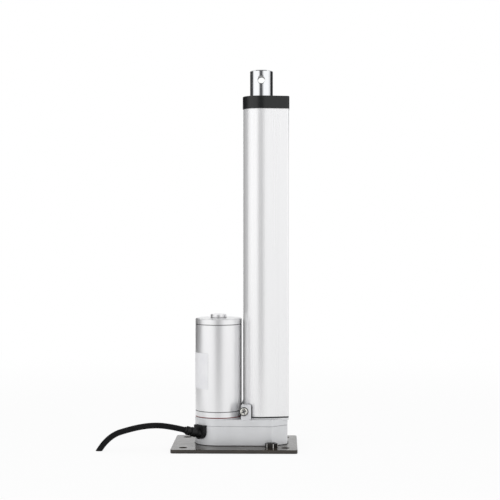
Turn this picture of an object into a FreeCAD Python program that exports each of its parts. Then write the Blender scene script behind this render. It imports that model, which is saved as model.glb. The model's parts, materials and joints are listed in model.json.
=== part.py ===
import FreeCAD, Part
import math
import os

# Electric linear actuator on a base plate, rod drawn in. Sizes are in millimetres and degrees.
# The origin is the middle of the plate's underside: X runs from motor to tube, Z is up, -Y is the front.

# Base plate
plate_width = 108.6
plate_depth = 84.0
plate_thickness = 3.0
plate_corner_radius = 2.5
plate_edge = 0.3
mount_hole_radius = 3.6
mount_spacing_x = 88.0
mount_spacing_y = 60.0

# Nut and stud at the front of the plate
stud_offset = 8.9
stud_share = 0.33
stud_radius = 3.0
stud_overshoot = 0.4
nut_flats = 10.0
nut_height = 3.8
nut_chamfer = 1.2
nut_turn = 18.0

# Gear train: motor pinion, compound idler, screw gear
motor_axis_x = -14.7
motor_tube_gap = 1.35
motor_pinion_teeth = 12
idler_gear_teeth = 44
stage1_face = 5.4
idler_pinion_teeth = 12
screw_gear_teeth = 40
stage2_face = 6.4
module_growth = 4.0 / 3.0
pressure_angle = 25.0
tooth_backlash = 0.10
stage_gap = 1.0
idler_pin_radius = 2.5

# Gearbox
gearbox_wall = 2.4
gearbox_lip = 0.35
gearbox_end_inset = 1.1
gearbox_corner_radius = 3.0
gearbox_cut_length = 13.0
gearbox_cut_depth = 12.0
gearbox_floor = 3.0
foot_clearance = 1.8
cover_clearance = 0.8
port_clearance = 0.6
cover_plate = 4.2
cover_height = 5.8
pad_height = 1.1
pad_chamfer = 0.4
seam_chamfer = 0.35
foot_chamfer = 0.5
cover_chamfer = 0.6
screw_boss_radius = 3.0
base_screw_radius = 2.0
base_screw_head_radius = 3.8
base_screw_head_depth = 2.0

# Lugs between motor and tube, and their screws
lug_left_inset = 17.3
lug_width = 8.6
lug_height = 12.7
lug_depth = 10.0
lug_setback = 0.6
lug_fillet = 1.0
lug_bevel = 1.9
lug_gap = 0.4
lug_screw_height = 7.2
lug_screw_inset = 2.4
lug_screw_radius = 1.6
lug_screw_length = 7.5
lug_head_radius = 3.85
lug_head_height = 2.3

# Motor
motor_radius = 20.25
motor_gasket_thickness = 0.6
motor_flange_height = 5.0
motor_can_length = 75.0
motor_can_wall = 1.5
can_lip = 3.0
motor_cap_height = 5.5
motor_cap_chamfer = 0.8
motor_boss_radius = 6.9
motor_boss_height = 3.3
motor_boss_edge = 0.6
motor_seam_width = 0.6
motor_seam_depth = 0.8
motor_pilot_inset = 3.0
motor_shaft_radius = 2.0
motor_bearing_radius = 6.5
motor_bearing_width = 4.5
motor_bush_radius = 4.6
commutator_radius = 4.6
commutator_length = 9.0
brush_length = 5.0
brush_half_width = 1.8
brush_half_height = 2.0
brush_arm_thickness = 0.5
card_thickness = 1.6
air_gap = 0.6
magnet_thickness = 5.2
magnet_sweep = 136.0
magnet_overhang = 2.0
core_bottom_gap = 3.0
core_top_gap = 16.0
winding_height = 5.0
motor_screw_radius = 1.5
motor_screw_inset = 9.25
label_bottom = 19.6
label_height = 31.0
label_start_angle = 148.0
label_end_angle = 245.4
label_thickness = 0.15

# Outer tube, cap and rod
tube_radius = 16.0
chamber_depth = 8.0
tube_taper = 12.0
tube_wall = 2.6
tube_corner_radius = 2.0
tube_seal_thickness = 1.0
spigot_height = 7.3
port_share = 0.5
port_inset = 3.0
port_depth = 14.0
port_screw_radius = 1.75
cap_height = 11.0
cap_overhang = 0.4
cap_fillet = 0.8
wiper_width = 3.0
wiper_depth = 4.0
wiper_step = 1.0
cap_screw_sink = 4.0
cap_screw_head_height = 2.6
chamber_plug_depth = 6.0
guide_bush_length = 24.0
top_gap = 9.2
stroke = 200.0
guide_bush_wall = 3.4
rod_bore_share = 0.7
rod_protrusion = 22.7
rod_plug_length = 28.0
eye_hole_radius = 3.25
eye_hole_inset = 8.4
eye_bevel = 0.6

# Screw, nut and bearings
screw_share = 0.6
screw_journal_share = 0.5
screw_tail_share = 0.4
drive_nut_thread = 16.0
drive_nut_socket = 10.0
drive_nut_gap = 2.0
bearing_margin = 2.4
bearing_width = 6.0
bearing_sink = 4.0
bearing_shoulder = 2.0
circlip_width = 1.2
circlip_depth = 0.7
foot_bush_wall = 2.0
tip_guide_height = 6.0

# Limit switches
board_thickness = 1.6
board_bottom_gap = 1.0
board_top_gap = 7.0
switch_height = 4.7
switch_length = 12.8
switch_width = 6.0
plunger_radius = 0.9
plunger_travel = 0.8

# Cable gland and cable
gland_angle = 225.0
gland_half_width = 6.1
gland_flange = 3.0
gland_rise = 0.7
boot_plan_angle = 203.0
boot_rise_angle = 16.0
boot_drop = 1.0
boot_edge = 0.25
cable_radius = 2.5
cable_first_run = 10.9
cable_crest_x = -24.7
cable_crest_y = -5.9
cable_crest_z = 5.0
cable_shoulder_x = -42.1
cable_shoulder_y = -7.7
cable_shoulder_z = 2.9
cable_fall_x = -66.7
cable_fall_y = -7.6
cable_fall_z = -4.9
cable_end_x = -75.3
cable_end_y = -7.1
cable_end_z = -3.7
lead_radius = 0.7
lead_offset = 3.4

# Fits: radial or face gap between pieces
press_gap = 0.03
running_gap = 0.05
loose_gap = 0.10
moving_gap = 0.30
head_sink = 0.2

# Gear axes: motor and tube stand side by side, and the modules fill the distance between them
stage1_half_sum = (motor_pinion_teeth + idler_gear_teeth) / 2
stage2_half_sum = (idler_pinion_teeth + screw_gear_teeth) / 2
axis_distance = motor_radius + motor_tube_gap + tube_radius
stage1_module = axis_distance / (stage1_half_sum + module_growth * stage2_half_sum)
stage2_module = stage1_module * module_growth
stage1_distance = stage1_module * stage1_half_sum
stage2_distance = stage2_module * stage2_half_sum
idler_x = motor_axis_x + stage1_distance
rod_x = idler_x + stage2_distance
idler_tip = stage1_module * (idler_gear_teeth + 2) / 2
screw_gear_tip = stage2_module * (screw_gear_teeth + 2) / 2

# Heights, from the plate up
plate_top = plate_thickness
floor_top = plate_top + gearbox_floor
stage2_bottom = floor_top + foot_clearance
stage2_top = stage2_bottom + stage2_face
stage1_bottom = stage2_top + stage_gap
stage1_top = stage1_bottom + stage1_face
cover_inner = stage1_top + cover_clearance
cover_top = cover_inner + cover_plate
parting = cover_top - cover_height
pad_top = cover_top + pad_height
motor_bottom = pad_top + motor_gasket_thickness
flange_top = motor_bottom + motor_flange_height
can_top = flange_top + motor_can_length
cap_face = can_top + motor_cap_height
boss_top = cap_face + motor_boss_height
tube_bottom = pad_top + tube_seal_thickness
spigot_top = pad_top + spigot_height
bearing_bottom = spigot_top - bearing_width - bearing_sink
bearing_top = bearing_bottom + bearing_width
drive_nut_bottom = spigot_top + drive_nut_gap
drive_nut_length = drive_nut_thread + drive_nut_socket
tube_top = drive_nut_bottom + drive_nut_length + stroke + top_gap + guide_bush_length
end_cap_top = tube_top + cap_height
rod_top = end_cap_top + rod_protrusion
rod_bottom = drive_nut_bottom + drive_nut_thread

# Plan sizes that follow from the others
gearbox_half_depth = max(motor_radius + gearbox_lip, screw_gear_tip + gearbox_wall + cover_clearance)
tube_flat_side = tube_radius + chamber_depth
gearbox_right = rod_x + tube_flat_side - gearbox_end_inset
tube_bore = tube_radius - tube_wall
rod_radius = tube_bore - guide_bush_wall
rod_bore_radius = rod_radius * rod_bore_share
screw_radius = rod_radius * screw_share
screw_journal_radius = rod_radius * screw_journal_share
screw_tail_radius = rod_radius * screw_tail_share
bearing_radius = tube_bore - bearing_margin
foot_bush_radius = screw_tail_radius + foot_bush_wall
motor_screw_circle = motor_radius - motor_screw_inset
motor_pilot_radius = motor_screw_circle - motor_pilot_inset
can_inner = motor_radius - motor_can_wall
spigot_radius = tube_bore - loose_gap
drive_nut_radius = tube_bore - moving_gap
flat_inner = rod_x + tube_flat_side - tube_wall
board_x = flat_inner - running_gap - board_thickness
switch_x = board_x - switch_height
plunger_tip_x = switch_x - plunger_travel - 0.4
tongue_x = plunger_tip_x - moving_gap - 0.1
rear_screw_y = gearbox_half_depth - screw_boss_radius - 1.8
rear_screw_reach = idler_tip + cover_clearance + screw_boss_radius
rear_screw_x = idler_x - math.sqrt(max(rear_screw_reach ** 2 - rear_screw_y ** 2, 1.0))
left_screw_x = motor_axis_x - gearbox_half_depth + screw_boss_radius + 2.2
stud_x = rod_x + stud_offset
stud_y = -gearbox_half_depth - stud_share * (plate_depth / 2 - gearbox_half_depth)

port_y = tube_radius * port_share
chamber_half_width = port_y - port_inset
port_reach = screw_gear_tip + screw_boss_radius + port_clearance
port_x = rod_x + math.sqrt(max(port_reach ** 2 - port_y ** 2, 1.0))

# Each base screw: x, y, radius and the height of its tip; the right pair also hold the tube
base_screws = [
    (port_x, -port_y, port_screw_radius, tube_bottom + port_depth - 2.0),
    (port_x, port_y, port_screw_radius, tube_bottom + port_depth - 2.0),
    (rear_screw_x, rear_screw_y, base_screw_radius, cover_top - 1.2),
    (left_screw_x, 0.0, base_screw_radius, cover_top - 1.2),
]


def vec(x, y, z):
    return FreeCAD.Vector(x, y, z)


def rod_between(radius, z0, z1, x=0.0, y=0.0):
    return Part.makeCylinder(radius, z1 - z0, vec(x, y, z0))


def ring(outer, inner, z0, z1, x=0.0, y=0.0):
    return rod_between(outer, z0, z1, x, y).cut(rod_between(inner, z0 - 1, z1 + 1, x, y))


def box(x0, x1, y0, y1, z0, z1):
    return Part.makeBox(x1 - x0, y1 - y0, z1 - z0, vec(x0, y0, z0))


def turned(profile, x=0.0, y=0.0):
    # Closed list of radius and height pairs, turned round the vertical through x, y
    points = [vec(x + radius, y, z) for radius, z in profile]
    points.append(points[0])
    face = Part.Face(Part.makePolygon(points))
    return face.revolve(vec(x, y, 0), vec(0, 0, 1), 360)


def line(a, b):
    return Part.LineSegment(a, b).toShape()


def arc(a, b, c):
    return Part.Arc(a, b, c).toShape()


def bend(before, corner, after, radius):
    # Arc that rounds a corner: where it starts, its middle and where it ends
    back = before.sub(corner).normalize()
    ahead = after.sub(corner).normalize()
    half_turn = (math.pi - back.getAngle(ahead)) / 2
    reach = radius * math.tan(half_turn)
    enter = corner.add(vec(back.x, back.y, back.z).multiply(reach))
    leave = corner.add(vec(ahead.x, ahead.y, ahead.z).multiply(reach))
    inward = back.add(ahead).normalize()
    middle = corner.add(inward.multiply(radius / math.cos(half_turn) - radius))
    return enter, middle, leave


def half_round_block(x, half_depth, stations, radius, z0, z1):
    # Round about x on the left; stations are x and half width along the sides, all but the first rounded
    points = [vec(px, -py, z0) for px, py in stations]
    points = points + [vec(px, py, z0) for px, py in reversed(stations)]
    edges = []
    at = points[0]
    for before, corner, after in zip(points, points[1:], points[2:]):
        enter, middle, leave = bend(before, corner, after, radius)
        edges.append(line(at, enter))
        edges.append(arc(enter, middle, leave))
        at = leave
    edges.append(line(at, points[-1]))
    edges.append(arc(points[-1], vec(x - half_depth, 0, z0), points[0]))
    return Part.Face(Part.Wire(edges)).extrude(vec(0, 0, z1 - z0))


def gearbox_block(outward, z0, z1):
    # Straight front and back, slanted faces towards the flat right end
    half = gearbox_half_depth + outward
    right = gearbox_right + outward
    slope = math.hypot(gearbox_cut_length, gearbox_cut_depth)
    normal_x = gearbox_cut_depth / slope
    normal_y = gearbox_cut_length / slope
    reach = normal_x * (gearbox_right - gearbox_cut_length) + normal_y * gearbox_half_depth + outward
    stations = [
        (motor_axis_x, half),
        ((reach - normal_y * half) / normal_x, half),
        (right, (reach - normal_x * right) / normal_y),
    ]
    return half_round_block(motor_axis_x, half, stations, max(gearbox_corner_radius + outward, 0.3), z0, z1)


def tube_block(outward, z0, z1):
    # Round about the rod, sides that close in towards the flat right end
    half = tube_radius + outward
    right = rod_x + tube_flat_side + outward
    slant = math.radians(tube_taper)
    stations = [
        (rod_x + half * math.sin(slant), half * math.cos(slant)),
        (right, (half - math.sin(slant) * (right - rod_x)) / math.cos(slant)),
    ]
    return half_round_block(rod_x, half, stations, max(tube_corner_radius + outward, 0.3), z0, z1)


def cavity(z0, z1):
    # Room inside the gearbox walls, less the screw bosses
    room = gearbox_block(-gearbox_wall, z0, z1)
    for x, y, radius, tip in base_screws:
        room = room.cut(rod_between(screw_boss_radius, z0 - 1, z1 + 1, x, y))
    return room


def outer_edges_at(shape, z, smallest):
    # Edges lying in the plane z whose box is wider than smallest
    found = []
    for edge in shape.Edges:
        limits = edge.BoundBox
        if abs(limits.ZMin - z) < 1e-4 and abs(limits.ZMax - z) < 1e-4:
            if max(limits.XLength, limits.YLength) > smallest:
                found.append(edge)
    return found


def polar(x, radius, angle, z):
    return vec(x + radius * math.cos(angle), radius * math.sin(angle), z)


def gear(teeth, module, z0, z1, x, phase):
    # Involute teeth with backlash; one tooth stands at the phase angle
    slant = math.radians(pressure_angle)
    pitch = module * teeth / 2
    base = pitch * math.cos(slant)
    tip = pitch + module
    root = pitch - 1.25 * module
    start = max(base, root)
    middle = (start + tip) / 2
    half = (math.pi * module / 2 - tooth_backlash) / (2 * pitch) + math.tan(slant) - slant

    def flank(radius):
        a = math.acos(min(1.0, base / radius))
        return half - math.tan(a) + a

    edges = []
    step = 2 * math.pi / teeth
    for tooth in range(teeth):
        centre = phase + tooth * step
        foot = flank(start)
        low = polar(x, start, centre - foot, z0)
        high = polar(x, tip, centre - flank(tip), z0)
        high_far = polar(x, tip, centre + flank(tip), z0)
        low_far = polar(x, start, centre + foot, z0)
        next_low = polar(x, start, centre + step - foot, z0)
        edges.append(arc(low, polar(x, middle, centre - flank(middle), z0), high))
        edges.append(line(high, high_far))
        edges.append(arc(high_far, polar(x, middle, centre + flank(middle), z0), low_far))
        if root < base - 1e-6:
            valley = polar(x, root, centre + foot, z0)
            next_valley = polar(x, root, centre + step - foot, z0)
            edges.append(line(low_far, valley))
            edges.append(line(valley, next_valley))
            edges.append(line(next_valley, next_low))
        else:
            edges.append(line(low_far, next_low))
    return Part.Face(Part.Wire(edges)).extrude(vec(0, 0, z1 - z0))


def rounded_path(points):
    # Straight runs joined by tangent arcs; returns the wire, its radii and its length
    edges = []
    radii = []
    start = points[0]
    for before, corner, after in zip(points, points[1:], points[2:]):
        back = before.sub(corner)
        ahead = after.sub(corner)
        half_turn = (math.pi - back.getAngle(ahead)) / 2
        radius = 0.45 * min(back.Length, ahead.Length) / math.tan(half_turn)
        enter, middle, leave = bend(before, corner, after, radius)
        edges.append(line(start, enter))
        edges.append(arc(enter, middle, leave))
        radii.append(round(radius, 1))
        start = leave
    edges.append(line(start, points[-1]))
    wire = Part.Wire(edges)
    return wire, radii, wire.Length


def sweep(points, radius, name):
    wire, radii, length = rounded_path(points)
    heading = points[1].sub(points[0])
    section = Part.Wire([Part.makeCircle(radius, points[0], heading)])
    solid = wire.makePipeShell([section], True, False)
    expected = math.pi * radius ** 2 * length
    volume_ratio = round(solid.Volume / expected, 4)
    print(name, "arc radii", radii, "length", round(length, 2), "volume ratio", volume_ratio)
    return solid


def u_block(half_width, top, r0, r1, z):
    # Upright U section with a round foot, along a radius from the motor axis at the gland's angle
    edges = [
        line(vec(r0, -half_width, top), vec(r0, -half_width, z)),
        arc(vec(r0, -half_width, z), vec(r0, 0, z - half_width), vec(r0, half_width, z)),
        line(vec(r0, half_width, z), vec(r0, half_width, top)),
        line(vec(r0, half_width, top), vec(r0, -half_width, top)),
    ]
    block = Part.Face(Part.Wire(edges)).extrude(vec(r1 - r0, 0, 0))
    block.rotate(vec(0, 0, 0), vec(0, 0, 1), gland_angle)
    block.translate(vec(motor_axis_x, 0, 0))
    return block


def countersunk(x, y, radius, head_radius, head_depth, tip, gap):
    # Flat head sunk in the plate's underside, shank up to the tip
    r = radius + gap
    h = head_radius + gap
    return turned([(0, head_sink), (h, head_sink), (r, head_sink + head_depth), (r, tip), (0, tip)], x, y)


def sunk_hole(x, y, radius, head_radius, head_depth):
    mouth = rod_between(head_radius + press_gap, -1, head_sink, x, y)
    return mouth.fuse(countersunk(x, y, radius, head_radius, head_depth, plate_top + 1, press_gap))


nodes = {}

# Base plate with four mounting holes and the countersunk holes
plate = box(-plate_width / 2, plate_width / 2, -plate_depth / 2, plate_depth / 2, 0, plate_top)
upright = [edge for edge in plate.Edges if edge.BoundBox.ZLength > plate_thickness / 2]
plate = plate.makeFillet(plate_corner_radius, upright)
plate = plate.makeChamfer(plate_edge, outer_edges_at(plate, plate_top, 1.0) + outer_edges_at(plate, 0, 1.0))
for sx in (-1, 1):
    for sy in (-1, 1):
        hole_x = sx * mount_spacing_x / 2
        hole_y = sy * mount_spacing_y / 2
        plate = plate.cut(rod_between(mount_hole_radius, -1, plate_top + 1, hole_x, hole_y))
for x, y, radius, tip in base_screws:
    plate = plate.cut(sunk_hole(x, y, radius, base_screw_head_radius, base_screw_head_depth))
stud_head = stud_radius * 1.85
stud_depth = plate_thickness - head_sink - stud_overshoot
plate = plate.cut(sunk_hole(stud_x, stud_y, stud_radius, stud_head, stud_depth))
nodes["base_plate"] = plate

nodes["base_screws"] = Part.makeCompound([
    countersunk(x, y, radius, base_screw_head_radius, base_screw_head_depth, tip, 0)
    for x, y, radius, tip in base_screws
])

# Stud and hex nut, one corner of the nut a little right of the front
nut_top = plate_top + nut_height
stud_top = nut_top + stud_overshoot
nodes["plate_stud"] = countersunk(stud_x, stud_y, stud_radius, stud_head, stud_depth, stud_top, 0)
nut_corner = nut_flats / math.sqrt(3)
corners = []
for side in range(7):
    turn = math.radians(30 + nut_turn + 60 * side)
    corners.append(vec(stud_x + nut_corner * math.cos(turn), stud_y + nut_corner * math.sin(turn), plate_top))
hexagon = Part.Face(Part.makePolygon(corners)).extrude(vec(0, 0, nut_height))
dome = turned([(0, plate_top - 1), (nut_corner + 1, plate_top - 1), (nut_corner + 1, nut_top - nut_chamfer),
               (nut_flats / 2, nut_top), (0, nut_top)], stud_x, stud_y)
hexagon = hexagon.common(dome)
nodes["plate_nut"] = hexagon.cut(rod_between(stud_radius + press_gap, 0, nut_top + 1, stud_x, stud_y))

# Gearbox housing: open tray with screw bosses and a slot for the gland
gland_z = parting - gland_half_width + gland_rise
neck_half_width = gland_half_width * 0.69
housing = gearbox_block(0, plate_top, parting)
housing = housing.makeChamfer(foot_chamfer, outer_edges_at(housing, plate_top, 3.0))
housing = housing.makeChamfer(seam_chamfer, outer_edges_at(housing, parting, 3.0))
housing = housing.cut(cavity(floor_top, parting + 1))
for x, y, radius, tip in base_screws:
    housing = housing.cut(rod_between(radius + press_gap, 0, parting + 1, x, y))
foot_bush_bottom = plate_top + gearbox_floor / 3
housing = housing.cut(rod_between(foot_bush_radius + press_gap, foot_bush_bottom, floor_top + 1, rod_x))
pin_bottom = plate_top + gearbox_floor / 3
housing = housing.cut(rod_between(idler_pin_radius + press_gap, pin_bottom, floor_top + 1, idler_x))
slot = u_block(neck_half_width + running_gap, parting + 1, gearbox_half_depth - 6, gearbox_half_depth + 4,
               gland_z)
nodes["gearbox_housing"] = housing.cut(slot)

# Gearbox cover: pads for motor and tube, a spigot for the tube, two lugs in the gap between them
cover = gearbox_block(0, parting, cover_top)
cover = cover.makeChamfer(cover_chamfer, outer_edges_at(cover, cover_top, 3.0))
cover = cover.makeChamfer(seam_chamfer, outer_edges_at(cover, parting, 3.0))
cover = cover.cut(cavity(parting - 1, cover_inner))
motor_pad = rod_between(motor_radius, cover_top - 1, pad_top, motor_axis_x)
tube_pad = tube_block(0, cover_top - 1, pad_top)
for pad in (motor_pad, tube_pad):
    cover = cover.fuse(pad.makeChamfer(pad_chamfer, outer_edges_at(pad, pad_top, 1.0)))
cover = cover.fuse(rod_between(spigot_radius, cover_top - 1, spigot_top, rod_x))
lug_x = rod_x - lug_left_inset
lug_front = gearbox_half_depth - lug_setback
lug_top = cover_top + lug_height
lug_screw_x = lug_x + lug_screw_inset
lug_screw_z = cover_top + lug_screw_height
motor_room = rod_between(motor_radius + lug_gap, pad_top, lug_top + 1, motor_axis_x)
for side in (-1, 1):
    near = side * lug_front
    far = side * (lug_front - lug_depth)
    lug = box(lug_x, lug_x + lug_width, min(near, far), max(near, far), cover_top - 1, lug_top)
    corner = vec(lug_x + lug_width, near, lug_top - 1)
    lug = lug.makeChamfer(lug_bevel, [edge for edge in lug.Edges if edge.BoundBox.isInside(corner)])
    lug = lug.makeFillet(lug_fillet, [edge for edge in lug.Edges if edge.BoundBox.ZMin > lug_top - 0.1])
    lug = lug.cut(motor_room).cut(tube_block(lug_gap, pad_top, lug_top + 1))
    cover = cover.fuse(lug)
for side in (-1, 1):
    hole = Part.makeCylinder(lug_screw_radius + press_gap, lug_screw_length + 0.6,
                             vec(lug_screw_x, side * (lug_front + 0.1), lug_screw_z), vec(0, -side, 0))
    cover = cover.cut(hole)
cover = cover.cut(rod_between(bearing_radius + press_gap, bearing_bottom, spigot_top + 1, rod_x))
cover = cover.cut(rod_between(bearing_radius - bearing_shoulder, cover_inner - 1, bearing_bottom + 1, rod_x))
cover = cover.cut(ring(bearing_radius + circlip_depth, bearing_radius - 1, bearing_top,
                       bearing_top + circlip_width, rod_x))
cover = cover.cut(rod_between(motor_pilot_radius + running_gap, cover_inner - 1, pad_top + 1, motor_axis_x))
pin_top = cover_inner + cover_plate / 2
cover = cover.cut(rod_between(idler_pin_radius + press_gap, cover_inner - 1, pin_top, idler_x))
for x, y, radius, tip in base_screws:
    cover = cover.cut(rod_between(radius + press_gap, parting - 1, tip + 0.4, x, y))
for side in (-1, 1):
    y = side * motor_screw_circle
    cover = cover.cut(rod_between(motor_screw_radius + loose_gap, cover_inner - 1, pad_top + 1,
                                  motor_axis_x, y))
lead_turn = math.radians(gland_angle)
lead_circle = motor_screw_circle + 1.0
lead_x = motor_axis_x + lead_circle * math.cos(lead_turn)
lead_y = lead_circle * math.sin(lead_turn)
lead_hole = 4 * lead_radius
cover = cover.cut(rod_between(lead_hole, cover_inner - 1, pad_top + 1, lead_x, lead_y))
switch_lead_x = board_x - lead_offset
switch_lead_y = -chamber_half_width + 2.0
cover = cover.cut(rod_between(lead_radius + 0.6, cover_inner - 1, pad_top + 1, switch_lead_x, switch_lead_y))
nodes["gearbox_cover"] = cover.removeSplitter()

# Pan head screws in the lugs, front and back
lug_screws = []
for side in (-1, 1):
    rim = lug_head_radius * 0.7
    screw = turned([
        (0, -lug_screw_length), (lug_screw_radius, -lug_screw_length), (lug_screw_radius, 0),
        (lug_head_radius, 0), (lug_head_radius, lug_head_height * 0.5), (rim, lug_head_height),
        (0, lug_head_height),
    ])
    screw.rotate(vec(0, 0, 0), vec(1, 0, 0), -90 * side)
    screw.translate(vec(lug_screw_x, side * lug_front, lug_screw_z))
    lug_screws.append(screw)
nodes["lug_screws"] = Part.makeCompound(lug_screws)

# Motor shell
nodes["motor_gasket"] = ring(motor_radius - running_gap, motor_radius * 0.75, pad_top, motor_bottom,
                             motor_axis_x)
bearing_seat = flange_top - motor_bearing_width
pilot_bottom = cover_inner + 0.5
lip_radius = can_inner - running_gap
lip_inner = can_inner - can_lip
lip_top = flange_top + can_lip
shaft_room = motor_shaft_radius + 0.8
seat_radius = motor_bearing_radius + press_gap
seam_radius = motor_radius - motor_seam_depth
flange = turned([
    (shaft_room, pilot_bottom), (motor_pilot_radius, pilot_bottom), (motor_pilot_radius, motor_bottom),
    (motor_radius, motor_bottom), (motor_radius, flange_top - motor_seam_width),
    (seam_radius, flange_top - motor_seam_width), (seam_radius, flange_top), (lip_radius, flange_top),
    (lip_radius, lip_top),
    (lip_inner, lip_top), (lip_inner, flange_top), (seat_radius, flange_top), (seat_radius, bearing_seat),
    (shaft_room, bearing_seat),
], motor_axis_x)
flange = flange.cut(rod_between(lead_hole, motor_bottom - 1, flange_top + 1, lead_x, lead_y))
motor_screw_tip = motor_bottom + motor_flange_height * 0.7
for side in (-1, 1):
    y = side * motor_screw_circle
    flange = flange.cut(rod_between(motor_screw_radius + press_gap, motor_bottom - 1, motor_screw_tip + 0.2,
                                    motor_axis_x, y))
nodes["motor_flange"] = flange

motor_screws = []
for side in (-1, 1):
    y = side * motor_screw_circle
    head = rod_between(motor_screw_radius * 1.8, cover_inner - 2.0, cover_inner, motor_axis_x, y)
    shank = rod_between(motor_screw_radius, cover_inner - 1, motor_screw_tip, motor_axis_x, y)
    motor_screws.append(head.fuse(shank).removeSplitter())
nodes["motor_screws"] = Part.makeCompound(motor_screws)

nodes["motor_can"] = ring(motor_radius, can_inner, flange_top, can_top, motor_axis_x)
cap_lip = can_top - can_lip
bush_seat = motor_bush_radius + press_gap
bush_top = cap_face + motor_boss_height * 0.35
bush_bottom = can_top + 0.4
cap = turned([
    (0, bush_top), (bush_seat, bush_top), (bush_seat, can_top), (lip_inner, can_top), (lip_inner, cap_lip),
    (lip_radius, cap_lip), (lip_radius, can_top), (seam_radius, can_top),
    (seam_radius, can_top + motor_seam_width), (motor_radius, can_top + motor_seam_width),
    (motor_radius, cap_face - motor_cap_chamfer),
    (motor_radius - motor_cap_chamfer, cap_face), (motor_boss_radius, cap_face),
    (motor_boss_radius, boss_top - motor_boss_edge),
    (motor_boss_radius - motor_boss_edge * 0.3, boss_top - motor_boss_edge * 0.3),
    (motor_boss_radius - motor_boss_edge, boss_top), (0, boss_top),
], motor_axis_x)
nodes["motor_end_cap"] = cap
nodes["motor_upper_bush"] = ring(motor_bush_radius, motor_shaft_radius + press_gap, bush_bottom, bush_top,
                                 motor_axis_x)
nodes["motor_lower_bearing"] = ring(motor_bearing_radius, motor_shaft_radius + press_gap, bearing_seat,
                                    flange_top, motor_axis_x)

label_sweep = label_end_angle - label_start_angle
label_inner = motor_radius + press_gap
label_z = flange_top + label_bottom
label = Part.makeCylinder(label_inner + label_thickness, label_height, vec(0, 0, label_z), vec(0, 0, 1),
                          label_sweep)
label = label.cut(rod_between(label_inner, label_z - 1, label_z + label_height + 1))
label.rotate(vec(0, 0, 0), vec(0, 0, 1), label_start_angle)
label.translate(vec(motor_axis_x, 0, 0))
nodes["motor_label"] = label

# Brush gear
card_top = lip_top + card_thickness
nodes["brush_card"] = ring(can_inner - loose_gap, commutator_radius + 2.4, lip_top, card_top, motor_axis_x)
commutator_bottom = card_top + 1.0
commutator_top = commutator_bottom + commutator_length
brush_inner = commutator_radius + loose_gap
brush_outer = brush_inner + brush_length
brush_middle = (commutator_bottom + commutator_top) / 2
brushes = []
arms = []
for side in (-1, 1):
    near = motor_axis_x + side * brush_inner
    far = motor_axis_x + side * brush_outer
    back = motor_axis_x + side * (brush_outer + brush_arm_thickness)
    brush = box(min(near, far), max(near, far), -brush_half_width, brush_half_width,
                brush_middle - brush_half_height, brush_middle + brush_half_height)
    brush = brush.cut(rod_between(brush_inner, commutator_bottom, commutator_top, motor_axis_x))
    brushes.append(brush)
    arms.append(box(min(far, back), max(far, back), -brush_half_width, brush_half_width, card_top,
                    brush_middle + brush_half_height))
nodes["carbon_brushes"] = Part.makeCompound(brushes)
nodes["brush_arms"] = Part.makeCompound(arms)

# Magnets, two arcs inside the can
magnet_outer = can_inner - running_gap
magnet_inner = magnet_outer - magnet_thickness
core_bottom = commutator_top + core_bottom_gap + winding_height
core_top = can_top - core_top_gap - winding_height
magnet_bottom = core_bottom - magnet_overhang
magnet_top = core_top + magnet_overhang
magnets = []
for middle in (0.0, 180.0):
    magnet = Part.makeCylinder(magnet_outer, magnet_top - magnet_bottom, vec(0, 0, magnet_bottom),
                               vec(0, 0, 1), magnet_sweep)
    magnet = magnet.cut(rod_between(magnet_inner, magnet_bottom - 1, magnet_top + 1))
    magnet.rotate(vec(0, 0, 0), vec(0, 0, 1), middle - magnet_sweep / 2)
    magnet.translate(vec(motor_axis_x, 0, 0))
    magnets.append(magnet)
nodes["motor_magnets"] = Part.makeCompound(magnets)

# Rotor
core_radius = magnet_inner - air_gap
shaft_top = bush_top - 0.4
nodes["motor_shaft"] = rod_between(motor_shaft_radius, stage1_bottom, shaft_top, motor_axis_x)
core = rod_between(core_radius, core_bottom, core_top, motor_axis_x)
for slot_number in range(8):
    groove = box(core_radius * 0.55, core_radius + 1, -0.9, 0.9, core_bottom - 1, core_top + 1)
    groove.rotate(vec(0, 0, 0), vec(0, 0, 1), 22.5 + 45 * slot_number)
    groove.translate(vec(motor_axis_x, 0, 0))
    core = core.cut(groove)
core_bore = rod_between(motor_shaft_radius, core_bottom - 1, core_top + 1, motor_axis_x)
nodes["armature_core"] = core.cut(core_bore)
coil_outer = core_radius - 1.0
coil_inner = motor_shaft_radius + 2.0
coils = []
for flat, crown in ((core_bottom, core_bottom - winding_height), (core_top, core_top + winding_height)):
    shoulder = flat + 0.6 * (crown - flat)
    coils.append(turned([
        (coil_inner, flat), (coil_outer, flat), (coil_outer, shoulder), (coil_outer - 2, crown),
        (coil_inner + 1.5, crown), (coil_inner, shoulder),
    ], motor_axis_x))
nodes["armature_windings"] = Part.makeCompound(coils)
nodes["commutator"] = ring(commutator_radius, motor_shaft_radius, commutator_bottom, commutator_top,
                           motor_axis_x)
pinion = gear(motor_pinion_teeth, stage1_module, stage1_bottom, stage1_top, motor_axis_x, 0)
pinion_bore = rod_between(motor_shaft_radius, stage1_bottom - 1, stage1_top + 1, motor_axis_x)
nodes["motor_pinion"] = pinion.cut(pinion_bore)

# Idler: large gear below the cover, small gear beneath it, turning on a fixed pin
nodes["idler_pin"] = rod_between(idler_pin_radius, pin_bottom, pin_top, idler_x)
idler_phase = math.pi + math.pi / idler_gear_teeth
idler = gear(idler_gear_teeth, stage1_module, stage1_bottom, stage1_top, idler_x, idler_phase)
idler_small = gear(idler_pinion_teeth, stage2_module, floor_top + moving_gap, stage1_bottom + 1, idler_x, 0)
idler_hub = idler_pin_radius + 2.0
idler = idler.fuse(idler_small)
idler = idler.fuse(rod_between(idler_hub, stage1_top - 1, cover_inner - moving_gap, idler_x))
idler = idler.cut(rod_between(idler_pin_radius + running_gap, floor_top - 1, cover_inner + 1, idler_x))
nodes["idler_gear"] = idler.removeSplitter()

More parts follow.
